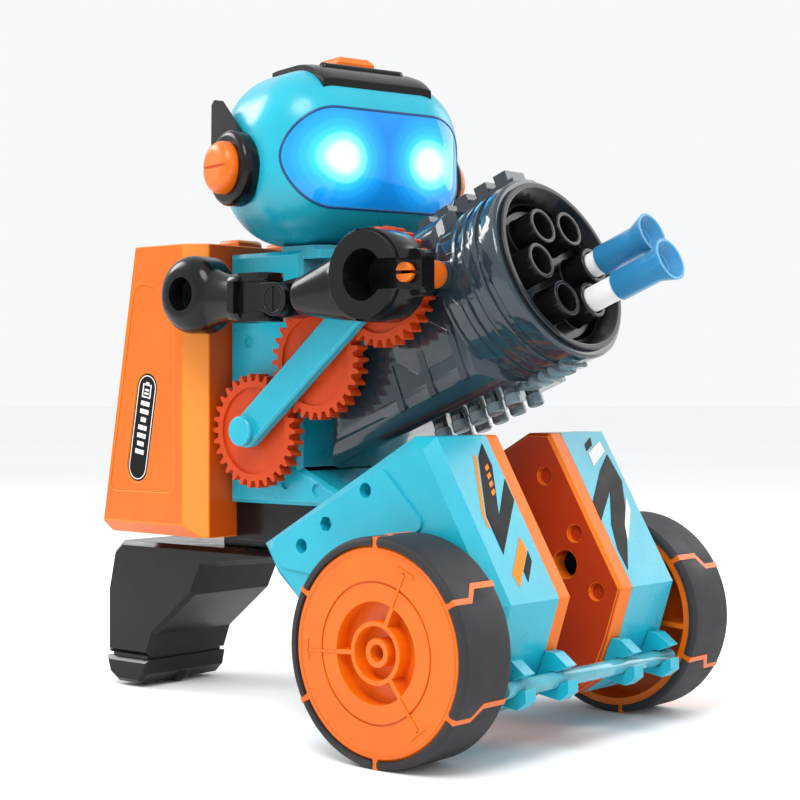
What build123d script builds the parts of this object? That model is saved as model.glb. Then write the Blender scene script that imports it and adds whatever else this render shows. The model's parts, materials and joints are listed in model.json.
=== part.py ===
from build123d import *
import math
import os

# A toy dart-blaster robot on two driven wheels and a rear skid, in millimetres.
# It faces -Y, +Z is up and its own right side is -X. Pieces are drawn with Y = 0 at the wheel
# axle. The last lines then move each of them, so that the origin lies on the floor under the
# middle of the whole toy.

# ---- Driving dimensions ----------------------------------------------------------------
WHEEL_R = 40.0            # outside of the tyre
WHEEL_IN, WHEEL_OUT = 59.5, 85.5
HUB_R = 37.0              # seat of the tyre
AXLE_R = 3.0

CANNON_PITCH = 22.0       # muzzle raised above level at rest, degrees
PIVOT_Y, PIVOT_Z = 38.3, 169.0        # cannon trunnion
MUZZLE_AHEAD = 54.5       # from the trunnion to the muzzle's front face
AXIS_BELOW = 14.5         # barrel axis under the trunnion
RING_R = 36.5             # muzzle ring
BARREL_R = 35.0           # round front part of the cannon
CHEEK_X = 27.5            # flat sides of the cannon between the gear plates
CANNON_REAR_Y = 78.0      # upright rear face of the cannon
TUBE_CIRCLE_R = 16.8      # six dart tubes stand on this circle
TUBE_R, TUBE_BORE_R = 7.0, 5.4
TUBE_COUNT = 6
TUBE_MOUTH_Y = -4.0       # along the barrel axis, from the muzzle's front face
DART_R = 4.8
DART_LENGTH = 64.0
DART_CUP_R = 8.2
DARTS = {"dart_near": (300, 40.0), "dart_far": (0, 32.0)}   # tube angle, reach past the muzzle

GEAR_TEETH = 30
GEAR_SPACING = 43.4       # centre distance of each meshed pair
GEAR_CHAIN_ANGLE = 39.5   # the chain of gears drops this much towards the rear
CARRIER_X = (28.0, 31.5)  # inner plate, gear and outer arm, counted outward from the middle
GEAR_X = (32.2, 38.2)
ARM_X = (38.9, 43.4)
TRUNNION_R = 4.0

SHOULDER = (120.0, 168.0)             # arm joints as (y, z)
ELBOW = (70.0, 164.5)
PEG = (10.5, 172.4)
HAND = (24.5, 171.7)
LIMB_X = (47.0, 64.0)
HAND_R, HAND_BORE_R, HAND_SLOT = 17.0, 9.5, 11.0

TORSO_X = 28.0
TORSO_REAR = 129.2
TORSO_BOTTOM, TORSO_TOP = 84.0, 186.0
PACK_X = 46.0
PACK_FRONT = TORSO_REAR
BOOT_X = 24.0
LEG_IN, LEG_MID, LEG_OUT = 16.0, 24.0, 57.0
WALL = 2.4

NECK_Y = 92.0
HEAD_YAW = -15.0          # the head looks a little to the toy's right at rest
HEAD_W, HEAD_D, HEAD_H = 94.0, 68.0, 70.0
HEAD_BOTTOM = 188.5
HEAD_ROUND = 27.0
VISOR_W, VISOR_H, VISOR_Z = 84.0, 38.0, 221.0

RUNNING = 0.08            # radial clearance of a shaft in its hole
SOCKET_R = 2.8            # blind round holes that take another kit part's peg
SOCKETS = (((28.1, 93.6), 6.0), ((60.0, 71.6), 5.4))   # (y, z) and depth of each

SIN, COS = math.sin(math.radians(CANNON_PITCH)), math.cos(math.radians(CANNON_PITCH))
MUZZLE_Y = PIVOT_Y - MUZZLE_AHEAD * COS - AXIS_BELOW * SIN
MUZZLE_Z = PIVOT_Z + MUZZLE_AHEAD * SIN - AXIS_BELOW * COS
BOOT_BACK = 212.0
BACK_SWITCH = (184.9, 110.0)          # the power switch on the rear face, (y, z)
BACK_LEAN = 10.0                      # the rear face leans forward towards the top
HEAD_MID = HEAD_BOTTOM + HEAD_H / 2

pieces = {}


# ---- Small helpers ---------------------------------------------------------------------
def plate(x0, x1, outline, radius=0.0):
    """A flat piece from x0 to x1 whose side view is the closed outline of (y, z) corners."""
    corners = [(x0, y, z) for y, z in outline]
    if radius:
        wire = FilletPolyline(*corners, radius=radius, close=True)
    else:
        wire = Polyline(*corners, close=True)
    return extrude(make_face(wire), x1 - x0, dir=(1, 0, 0))


def crossbar(x0, x1, centre, radius):
    """A round bar along X from x0 to x1, through the (y, z) centre."""
    return Pos((x0 + x1) / 2, centre[0], centre[1]) * Rot(0, 90, 0) * Cylinder(radius, x1 - x0)


def link_plate(x0, x1, first, first_r, second, second_r):
    """A flat piece whose side view is the hull of two discs."""
    ends = Pos(*first) * Circle(first_r) + Pos(*second) * Circle(second_r)
    return extrude(Plane.YZ.offset(x0) * make_hull(ends.edges()), x1 - x0)


def round_corner_plate(x0, x1, outline, radii):
    """A flat piece like plate(), with a radius of its own for each corner of the outline."""
    wire = FilletPolyline(*[(x0, y, z) for y, z in outline], radius=radii, close=True)
    return extrude(make_face(wire), x1 - x0, dir=(1, 0, 0))


def other_side(piece):
    """The same piece on the toy's left side."""
    return mirror(piece, Plane.YZ)


def both_sides(name, piece):
    """Keep a piece drawn on the right side (-X) and its mirror image on the left."""
    pieces[name + "_right"] = piece
    pieces[name + "_left"] = other_side(piece)


def on_both(piece):
    """A piece and its mirror image, as one group of separate solids."""
    return Compound(children=[piece, other_side(piece)])


def in_cannon(piece):
    """Place a piece drawn about the barrel axis: muzzle face at y = 0, rear towards +y."""
    return Pos(0, MUZZLE_Y, MUZZLE_Z) * Rot(-CANNON_PITCH, 0, 0) * piece


def along_axis(y0, y1, radius, x=0.0, z=0.0):
    """A round bar along the cannon's own y axis."""
    return Pos(x, (y0 + y1) / 2, z) * Rot(90, 0, 0) * Cylinder(radius, y1 - y0)


def in_head(piece):
    """Place a piece drawn about the neck's axis, with the head looking along -Y."""
    return Pos(0, NECK_Y, 0) * Rot(0, 0, HEAD_YAW) * piece


def box(x0, x1, y0, y1, z0, z1):
    """A box between two corners."""
    return Pos((x0 + x1) / 2, (y0 + y1) / 2, (z0 + z1) / 2) * Box(x1 - x0, y1 - y0, z1 - z0)


# ---- Gears -----------------------------------------------------------------------------
def gear_outline(phase):
    """Side view of a spur gear as (y, z) points about its centre; a tooth lies at the phase angle."""
    pitch_r = GEAR_SPACING / 2
    module = 2 * pitch_r / GEAR_TEETH
    tip_r, root_r = pitch_r + 0.85 * module, pitch_r - 1.15 * module
    base_r = pitch_r * math.cos(math.radians(20))
    inv20 = math.tan(math.radians(20)) - math.radians(20)
    half_at_pitch = math.pi / (2 * GEAR_TEETH) - 0.16 / pitch_r
    points = []
    for tooth in range(GEAR_TEETH):
        middle = math.radians(phase) + 2 * math.pi * tooth / GEAR_TEETH
        flank = [(root_r, half_at_pitch + inv20)]
        for r in (base_r + 0.1, pitch_r, tip_r):
            pressure = math.acos(min(1.0, base_r / r))
            flank.append((r, half_at_pitch + inv20 - (math.tan(pressure) - pressure)))
        for r, half in flank:
            points.append((r * math.cos(middle - half), r * math.sin(middle - half)))
        for r, half in reversed(flank):
            points.append((r * math.cos(middle + half), r * math.sin(middle + half)))
    return points


def spur_gear(centre, phase, bore_r):
    """One orange gear on the right side: toothed rim, thinner web, hub and bore."""
    x0, x1 = -GEAR_X[1], -GEAR_X[0]
    rim = plate(x0, x1, [(centre[0] + y, centre[1] + z) for y, z in gear_outline(phase)])
    web = crossbar(x0, x0 + 1.2, centre, 17.5) - crossbar(x0, x0 + 1.2, centre, 7.5)
    return rim - web - crossbar(x0, x1, centre, bore_r)


def meshed_phase(direction, phase):
    """Phase of the next equal gear, so that its gap faces the tooth of the one before it."""
    return 2 * direction + 180 - 180 / GEAR_TEETH - phase


def chain_point(step):
    """Centre of the upper (0), middle (1) or lower (2) gear."""
    angle = math.radians(-GEAR_CHAIN_ANGLE)
    return (PIVOT_Y + step * GEAR_SPACING * math.cos(angle),
            PIVOT_Z + step * GEAR_SPACING * math.sin(angle))


def gear_train():
    upper, middle, lower = chain_point(0), chain_point(1), chain_point(2)
    middle_phase = meshed_phase(-GEAR_CHAIN_ANGLE, 0.0)
    both_sides("gear_middle", spur_gear(middle, middle_phase, 3.0 + RUNNING))
    lower_phase = meshed_phase(-GEAR_CHAIN_ANGLE, middle_phase)
    gear = spur_gear(lower, lower_phase, 3.0)
    shaft = crossbar(-ARM_X[1] + 1.2, ARM_X[1] - 1.2, lower, 3.0)
    pieces["lower_gears_and_shaft"] = Compound(children=[gear, other_side(gear), shaft])

    # The outer arm covers the gears' hubs; its studs carry the middle gears.
    arm = link_plate(-ARM_X[1], -ARM_X[0], upper, 6.6, lower, 6.6)
    arm = chamfer(arm.faces().sort_by(Axis.X)[0].edges(), 0.9)
    cap = crossbar(-ARM_X[1] - 3.0, -ARM_X[1], lower, 6.0)
    arm += chamfer(cap.faces().sort_by(Axis.X)[0].edges(), 0.6)
    arm -= crossbar(-ARM_X[1], -ARM_X[0], upper, TRUNNION_R + RUNNING)
    arm -= crossbar(-ARM_X[1] + 1, -ARM_X[0], lower, 3.0 + RUNNING)
    arm += crossbar(-ARM_X[0] - 1, -CARRIER_X[0], middle, 3.0)
    pieces["gear_arms"] = on_both(arm)


# ---- Wheels ----------------------------------------------------------------------------
def seam_bar(x0, x1, low, high):
    """The Z-shaped bar between two tread segments, from one height to another."""
    half, step = 1.1, 5.0
    bend_start, bend_end = -WHEEL_OUT + 9.0, -WHEEL_OUT + 13.0
    outline = [(x0, half), (bend_start, half), (bend_end, step + half), (x1, step + half),
               (x1, step - half), (bend_end + 0.9, step - half), (bend_start + 0.9, -half), (x0, -half)]
    face = make_face(Polyline(*[(x, y, low) for x, y in outline], close=True))
    return extrude(face, high - low, dir=(0, 0, 1))


def wheels():
    axle = (0.0, WHEEL_R)
    x0, x1 = -WHEEL_OUT, -WHEEL_IN
    lug_count = 6
    hub = crossbar(x0 + 0.6, x1 - 0.6, axle, HUB_R)
    hub = chamfer(hub.faces().sort_by(Axis.X)[0].edges(), 1.0)
    hub -= crossbar(x1 - 17.5, x1, axle, 34.2) - crossbar(x1 - 17.5, x1, axle, 8.0)
    hub -= crossbar(x0, x0 + 1.4, axle, 24.9) - crossbar(x0, x0 + 1.4, axle, 24.1)
    recess = crossbar(x0, x0 + 7.0, axle, 17.8) - crossbar(x0, x0 + 7.0, axle, 11.0)
    for angle in (115, 357, 232):
        spoke = Pos(x0 + 3.5, 14.4, 0) * Box(7.0, 8.0, 1.6)
        recess -= Pos(0, *axle) * Rot(angle, 0, 0) * spoke
    hub -= recess
    hub -= crossbar(x0, x0 + 7.0, axle, 9.4) - crossbar(x0 + 1.5, x0 + 7.0, axle, 5.0)
    hub -= crossbar(x0, x1, axle, AXLE_R)
    for step in range(3):
        rib = Pos(x1 - 9.5, 20.8, 0) * Box(16.0, 27.5, 2.0)
        hub += Pos(0, *axle) * Rot(65 + 120 * step, 0, 0) * rib
    for step in range(lug_count):
        lug = seam_bar(x0 + 0.6, x1 - 0.6, HUB_R - 1.1, WHEEL_R - 0.1)
        hub += Pos(0, *axle) * Rot(60 * step, 0, 0) * lug
    both_sides("wheel_hub", hub)

    tyre = crossbar(x0, x1, axle, WHEEL_R) - crossbar(x0, x1, axle, HUB_R)
    tyre = fillet(tyre.edges().filter_by(GeomType.CIRCLE).filter_by(lambda e: e.radius > 39.9), 2.0)
    for step in range(lug_count):
        slot = seam_bar(x0 - 1, x1 + 1, WHEEL_R - 4.5, WHEEL_R + 1.5)
        tyre -= Pos(0, *axle) * Rot(60 * step, 0, 0) * slot
    both_sides("tyre", tyre)
    both_sides("wheel_axle", crossbar(-WHEEL_OUT + 7.5, -LEG_MID - 10.0, axle, AXLE_R))


# ---- Legs ------------------------------------------------------------------------------
LEG_OUTLINE = [(9, 113.5), (-1, 113.5), (-34, 56), (-28, 37), (-21, 20), (-12, 14), (24, 14),
               (77, 60), (84, 71)]


def leg():
    axle = (0.0, WHEEL_R)
    shell = plate(-LEG_OUT, -LEG_MID, LEG_OUTLINE)
    shell = chamfer(shell.faces().sort_by(Axis.X)[0].edges(), 4.5)
    inside = [(6, 108), (1, 108), (-29, 56), (-22, 37), (-18, 22), (-11, 17), (22, 17), (73, 61), (79, 70)]
    shell -= plate(-LEG_OUT + WALL + 4.6, -LEG_MID, inside)
    panel = plate(-LEG_OUT - 1.0, -LEG_OUT + 0.5, [(20, 102), (76, 72), (70, 63), (40, 60), (0, 82)], 3)
    shell += panel
    for centre, depth in SOCKETS:
        shell -= crossbar(-LEG_OUT - 1, -LEG_OUT - 1 + depth, centre, SOCKET_R)
    hexagon = Plane.YZ.offset(-LEG_OUT - 1) * Pos(47.5, 80.5) * RegularPolygon(3.0, 6)
    shell -= extrude(hexagon, 4.5)
    shell -= crossbar(-LEG_OUT - 2, -LEG_MID, axle, AXLE_R + RUNNING)
    both_sides("leg_shell", shell)

    inner = plate(-LEG_MID, -LEG_IN, LEG_OUTLINE, 1.5)
    inner = chamfer(inner.faces().sort_by(Axis.X)[-1].edges(), 1.2)
    for centre in ((35, 97), (1, 97), (-13, 75.5), (-23, 54)):
        inner -= crossbar(-LEG_IN - 2.0, -LEG_IN, centre, 3.4)
    inner -= crossbar(-LEG_MID, -LEG_IN, (-8.5, 63.5), 5.5)
    both_sides("leg_inner", inner)

    # C-shaped connectors on the toe, and the rod that clips into them.
    rod_centre = (-31.5, 26.5)
    clips = []
    toe = Pos(0, -0.2, -0.1) * plate(-LEG_OUT, 0, LEG_OUTLINE, 1.5)
    for x0 in (-24.5, -50.0):
        hook = [(-24, 37), (-32, 36.5), (-38, 32), (-38.5, 22.5), (-34.5, 19.5), (-22, 21.5)]
        clip = plate(x0, x0 + 6.0, hook, 1.2)
        clip -= crossbar(x0, x0 + 6.0, rod_centre, 3.3)
        clip -= Pos(0, *rod_centre) * Rot(-25, 0, 0) * box(x0, x0 + 6.0, -12, 0, -2.3, 2.3)
        clip -= toe
        clips.extend(clip.solids())
    pieces["toe_clips"] = Compound(children=clips + [other_side(clip) for clip in clips])
    pieces["toe_rod"] = crossbar(-54.0, 54.0, rod_centre, 3.0)


def drive_units():
    """The geared drive motor in each leg: gearbox, motor can and its pinion side."""
    axle = (0.0, WHEEL_R)
    x0, x1 = -48.0, -LEG_MID - 2.0
    gearbox = plate(x0, x1, [(-14, 26), (14, 26), (30, 44), (24, 60), (-10, 56)], 3)
    gearbox -= crossbar(x0, x1, axle, AXLE_R + 0.3)
    pieces["drive_gearboxes"] = on_both(gearbox)
    motor = Pos(-37.0, 37.0, 60.0) * Rot(-52, 0, 0) * Cylinder(9.5, 26)
    pieces["drive_motors"] = on_both(motor - gearbox)


# ---- Torso, pelvis, boot and backpack -----------------------------------------------------
def torso():
    lower = chain_point(2)
    outline = [(TORSO_REAR, TORSO_BOTTOM), (65, TORSO_BOTTOM), (65, 88.5), (89, 99), (89, TORSO_TOP),
               (TORSO_REAR, TORSO_TOP)]
    shell = plate(-TORSO_X, TORSO_X, outline)
    sides = shell.faces().filter_by(Axis.X)
    shell = chamfer([edge for face in sides for edge in face.edges()], 1.8)
    shell += chamfer(box(-26, 26, 76, 95, 182.5, TORSO_TOP).edges().filter_by(Axis.Z), 4.0)
    cavity = [(TORSO_REAR - WALL, 87), (76, 87), (76, 92), (92, 101), (92, 182), (TORSO_REAR - WALL, 182)]
    shell -= plate(-TORSO_X + WALL, TORSO_X - WALL, cavity)
    for side in (-1, 1):
        for y, z in ((80, 90.5), (97, 93), (118, 150)):
            shell -= Pos(side * TORSO_X, y, z) * Rot(0, 90, 0) * Cylinder(2.6, 2.4)
        rib_x = sorted((side * (TORSO_X - 0.5), side * (TORSO_X + 0.9)))
        shell += plate(*rib_x, [(92, 128), (95, 128), (95, 172), (92, 172)])

    # Cheek plates run forward from the torso's sides and carry the cannon's trunnions.
    upper, middle = chain_point(0), chain_point(1)
    for x0, x1 in ((-CARRIER_X[1], -CARRIER_X[0] + 0.5), (CARRIER_X[0] - 0.5, CARRIER_X[1])):
        cheek = link_plate(x0, x1, upper, 7.0, lower, 7.0) + link_plate(x0, x1, lower, 7.0, (118, 98), 6.0)
        shell += cheek - crossbar(x0, x1, upper, TRUNNION_R + RUNNING) - crossbar(x0, x1, middle, 3.0)
    shell -= crossbar(-40, 40, lower, 3.0 + RUNNING)
    shell -= crossbar(-40, 40, SHOULDER, 5.0)
    shell += chamfer(box(-26, 26, 79, 106, TORSO_TOP, TORSO_TOP + 2.0).edges().filter_by(Axis.Z), 5.0)
    shell -= Pos(0, NECK_Y, TORSO_TOP) * Cylinder(8.0 + RUNNING, 16)
    pieces["torso_shell_right"] = shell & box(-60, 0, 0, 200, 0, 300)
    pieces["torso_shell_left"] = shell & box(0, 60, 0, 200, 0, 300)

    motor = box(-12, 12, 97, 122, 103, 127) - crossbar(-30, 30, lower, 3.0 + RUNNING)
    pieces["arm_motor"] = motor + Pos(0, 110, 139) * Cylinder(9.5, 24)

    axle = crossbar(-LIMB_X[0] - 9, LIMB_X[0] + 9, SHOULDER, 5.0)
    for side in (-1, 1):
        axle += crossbar(*sorted((side * TORSO_X, side * (LIMB_X[0] - 0.4))), SHOULDER, 7.0)
    pieces["shoulder_axle"] = axle


def pelvis_and_boot():
    block = box(-LEG_IN + 0.1, LEG_IN - 0.1, 34, 86, 60, TORSO_BOTTOM)
    block += box(-BOOT_X, BOOT_X, 86, PACK_FRONT, 68, TORSO_BOTTOM)
    block += box(-13, 13, 100, 148, 64, 69.5)
    pieces["pelvis_block"] = block

    outline = [(BOOT_BACK - 1, 14), (BOOT_BACK - 1, 42), (207, 59), (201, 64), (105, 64),
               (107, 60), (150, 55), (156, 43), (170, 32), (180, 24), (184, 14)]
    boot = plate(-BOOT_X, BOOT_X, outline)
    sides = boot.faces().filter_by(Axis.X)
    boot = chamfer([edge for face in sides for edge in face.edges()], 2.0)
    boot += box(-BOOT_X + 2, BOOT_X - 2, 186.5, BOOT_BACK - 3.5, 12.4, 14.5)
    pieces["rear_boot"] = boot

    outline = [(184, 12.4), (BOOT_BACK, 12.4), (209.5, 5), (204, 1.8), (190, 1.8), (185.5, 6)]
    sole = plate(-BOOT_X, BOOT_X, outline)
    sides = sole.faces().filter_by(Axis.X)
    sole = chamfer([edge for face in sides for edge in face.edges()], 1.5)
    skid = Pos(0, 197, 5.5) * Rot(90, 0, 0) * Cylinder(5.5, 21)
    pieces["boot_sole"] = sole + fillet(skid.edges(), 4.0)


def on_back(piece):
    """Place a piece on the backpack's leaning rear face, local +Y outward."""
    return Pos(0, BACK_SWITCH[0], BACK_SWITCH[1]) * Rot(BACK_LEAN, 0, 0) * piece


def backpack():
    outline = [(PACK_FRONT, 190), (168, 190), (171.5, 186), (189.5, 84), (187, 70), (PACK_FRONT, 69.5)]
    shell = plate(-PACK_X, PACK_X, outline)
    rear = [e for e in shell.edges() if e.length > 60 and e.center().Y > 165 and abs(e.center().X) > 40]
    shell = chamfer(rear, 4.0)
    plan = [(-PACK_X, 138.5), (-PACK_X + 6.5, PACK_FRONT), (PACK_X - 6.5, PACK_FRONT), (PACK_X, 138.5),
            (PACK_X, 200), (-PACK_X, 200)]
    shell &= extrude(make_face(Polyline(*[(x, y, 0) for x, y in plan], close=True)), 300, dir=(0, 0, 1))
    low_edges = [e for e in shell.edges() if e.center().Z < 71 and e.length > 20]
    bottom = [e for e in low_edges if abs(e.center().X) > PACK_X - 1]
    shell = chamfer(bottom, 5.0)
    inner_front = PACK_FRONT + WALL
    hollow = [(inner_front, 187), (166.5, 187), (168.8, 184), (186.5, 85), (184.5, 73), (inner_front, 73)]
    shell -= plate(-PACK_X + 7.0, PACK_X - 7.0, hollow)
    for x in (-14, 14):
        latch = box(x - 7, x + 7, 131, 143, 189, 193)
        shell += fillet(latch.edges().group_by(Axis.Z)[-1], 1.8)

    # Each side has a door under a round arch, seated on a rim, with two cells behind it.
    arch = [(144, 88), (144, 174), (167.5, 174), (183.5, 88)]
    rounding = [3, 19, 5, 3]
    opening = [(148, 92), (148, 162), (164, 168), (178, 92)]
    for name, side in (("battery_door_right", -1), ("battery_door_left", 1)):
        seat = sorted((side * (PACK_X - 2.6), side * (PACK_X + 1)))
        shell -= round_corner_plate(*seat, arch, rounding)
        shell -= plate(*sorted((side * (PACK_X - 8), side * (PACK_X - 2))), opening)
        door_x = sorted((side * (PACK_X - 2.6), side * (PACK_X - 0.4)))
        door = round_corner_plate(*door_x, arch, rounding)
        recess_x = sorted((side * (PACK_X - 1.2), side * (PACK_X + 1)))
        door -= link_plate(*recess_x, (160.5, 131.0), 6.4, (166.5, 98.0), 6.4)
        pieces[name] = door

    slot = box(-5.4, 5.4, -6.0, 1.0, -3.4, 3.4)
    shell -= on_back(slot)
    pieces["backpack_shell"] = shell
    knob = box(-4.9, -0.3, -5.4, 0.8, -2.9, 2.9)
    pieces["power_switch"] = on_back(chamfer(knob.edges().group_by(Axis.Y)[-1], 0.6))

    trays, cells = [], []
    for side in (-1, 1):
        near, far = sorted((side * 22.0, side * (PACK_X - 7.5)))
        tray = box(near, far, 139, 173.4, 96, 156)
        for y in (148.5, 164.2):
            well = Pos(side * 31.0, y, 126) * Cylinder(7.5, 52)
            well += box(*sorted((side * 31.0, side * (PACK_X - 7.0))), y - 7.5, y + 7.5, 100, 152)
            tray -= well
            cells.append(Pos(side * 31.0, y, 126) * Cylinder(7.1, 50.5))
        trays.append(tray)
    pieces["battery_trays"] = Compound(children=[solid for tray in trays for solid in tray.solids()])
    pieces["battery_cells"] = Compound(children=cells)

    board = box(-20, 20, 133, 134.6, 88, 168)
    for x0, x1, z0, z1 in ((-8, 8, 120, 136), (-15, -6, 96, 104), (6, 15, 150, 162)):
        board += box(x0, x1, 134.6, 137, z0, z1)
    pieces["circuit_board"] = board


# ---- Cannon ----------------------------------------------------------------------------
def rear_at(height):
    """Where the cannon's upright rear face lies along the barrel axis, at a height over it."""
    return (CANNON_REAR_Y - MUZZLE_Y - height * SIN) / COS


def in_tube(piece, angle):
    """Place a piece drawn on the barrel axis into the dart tube at an angle from +X."""
    angle = math.radians(angle)
    return Pos(TUBE_CIRCLE_R * math.cos(angle), 0, TUBE_CIRCLE_R * math.sin(angle)) * piece


def cannon():
    top, bottom = 34.0, -35.5
    side_view = [(26, top), (rear_at(top), top), (rear_at(bottom), bottom), (26, bottom)]
    body = plate(-CHEEK_X, CHEEK_X, side_view)
    body = fillet([e for e in body.edges() if e.length > 30 and abs(e.center().X) > 20], 11.0)
    shell = body + along_axis(4, 31, BARREL_R)
    ring = chamfer(along_axis(0, 7.5, RING_R).edges(), 1.0)
    shell += ring + along_axis(10, 13, RING_R - 0.4) + along_axis(16, 17.5, RING_R - 0.9)
    for y0 in (36, 52, 68):
        band = plate(-CHEEK_X - 0.6, CHEEK_X + 0.6, [(y0, -30), (y0 + 3, -30), (y0 + 3, -12), (y0, -12)])
        shell += band
    # Castellated rail on top and moulded connector knobs underneath.
    shell += box(-7, 7, 3, 56, top - 1, RING_R + 1.5)
    for step in range(5):
        shell += box(-6, 6, 6 + 10 * step, 12 + 10 * step, RING_R, RING_R + 6)
    for step in range(5):
        for x in (-7, 7):
            shell += Pos(x, 34 + 9 * step, bottom - 3.0) * Cylinder(2.8, 7)
    pivot = (MUZZLE_AHEAD, AXIS_BELOW)
    behind, above = PEG[0] - MUZZLE_Y, PEG[1] - MUZZLE_Z
    peg = (behind * COS - above * SIN, behind * SIN + above * COS)
    shell += crossbar(-38.4, 38.4, peg, 5.0)
    shell += crossbar(-ARM_X[1] + 0.6, ARM_X[1] - 0.6, pivot, TRUNNION_R)
    shell -= along_axis(-1, 28.5, 31.6) + along_axis(28, 34, 25.0)
    inner_top, inner_bottom = top - WALL, bottom + WALL
    side_view = [(33.5, inner_top), (rear_at(inner_top) - 2.6, inner_top)]
    side_view += [(rear_at(inner_bottom) - 2.6, inner_bottom), (33.5, inner_bottom)]
    cavity = plate(-CHEEK_X + WALL, CHEEK_X - WALL, side_view)
    long_edges = [e for e in cavity.edges() if e.length > 30 and e.center().Y > 40]
    shell -= fillet([e for e in long_edges if abs(e.center().X) > 20], 8.6)
    shell -= crossbar(-39, -26, peg, 3.0) + crossbar(26, 39, peg, 3.0)
    pieces["cannon_shell_right"] = in_cannon(shell & box(-60, 0, -50, 200, -100, 100))
    pieces["cannon_shell_left"] = in_cannon(shell & box(0, 60, -50, 200, -100, 100))

    ring = along_axis(-1.6, 0, RING_R - 2.5) + along_axis(0, 28.5, 31.6)
    ring -= along_axis(-2, 29, 27.8) + Pos(0, 1.2, 0) * Rot(90, 0, 0) * Cone(27.8, 32.0, 6.0)
    pieces["muzzle_ring"] = in_cannon(ring)

    cluster = along_axis(7, 10, 26.4) + along_axis(10, 46, 8.0)
    cluster += along_axis(46, 50, 24.0) + along_axis(50, 62, 3.0)
    for step in range(TUBE_COUNT):
        cluster += in_tube(along_axis(TUBE_MOUTH_Y, 50, TUBE_R), 60 * step)
    for step in range(TUBE_COUNT):
        cluster -= in_tube(along_axis(TUBE_MOUTH_Y - 1, 47, TUBE_BORE_R), 60 * step)
    pieces["barrel_cluster"] = in_cannon(cluster)

    motor = box(-15, 15, 54, 66, -15, 15) + along_axis(66, 90, 11.0)
    motor += crossbar(-24.6, 24.6, (60, 0), 3.5)
    pieces["firing_motor"] = in_cannon(motor - along_axis(50, 64, 3.0 + RUNNING))

    pin = crossbar(-LIMB_X[0] + 0.5, -38.4, PEG, 5.2) + crossbar(-38.4, -32.4, PEG, 3.0)
    pin += crossbar(-56.5, -LIMB_X[0] + 0.5, PEG, 2.9) + crossbar(-57.5, -55.0, PEG, 3.7)
    split = box(-58, -50, PEG[0] - 5, PEG[0] + 5, PEG[1] - 0.6, PEG[1] + 0.6)
    pieces["cannon_pegs"] = on_both(pin - split)
    pieces["gears_upper"] = on_both(spur_gear(chain_point(0), 0.0, TRUNNION_R))


def darts():
    for name, (angle, reach) in DARTS.items():
        stem = along_axis(-reach + 8, -reach + DART_LENGTH, DART_R)
        sleeve = along_axis(-reach + 5.5, -reach + 24, DART_R + 0.9)
        sleeve -= along_axis(-reach + 8, -reach + 25, DART_R)
        flare = Pos(0, -reach + 3.5, 0) * Rot(90, 0, 0) * Cone(DART_R + 0.9, DART_CUP_R, 7.0)
        flare -= Pos(0, -reach + 2.0, 0) * Rot(90, 0, 0) * Cone(3.6, DART_CUP_R - 0.9, 4.1)
        pieces[name + "_stem"] = in_cannon(in_tube(stem, angle))
        pieces[name + "_cup"] = in_cannon(in_tube(sleeve + flare, angle))


# ---- Arms ------------------------------------------------------------------------------
def limb_loft(sections):
    """A rounded limb along Y on the right side, through ellipses of (y, z, half width, half height)."""
    middle = -(LIMB_X[0] + LIMB_X[1]) / 2
    faces = [Plane((middle, y, z), x_dir=(1, 0, 0), z_dir=(0, -1, 0)) * Ellipse(half_x, half_z)
             for y, z, half_x, half_z in sections]
    return loft(faces)


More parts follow.
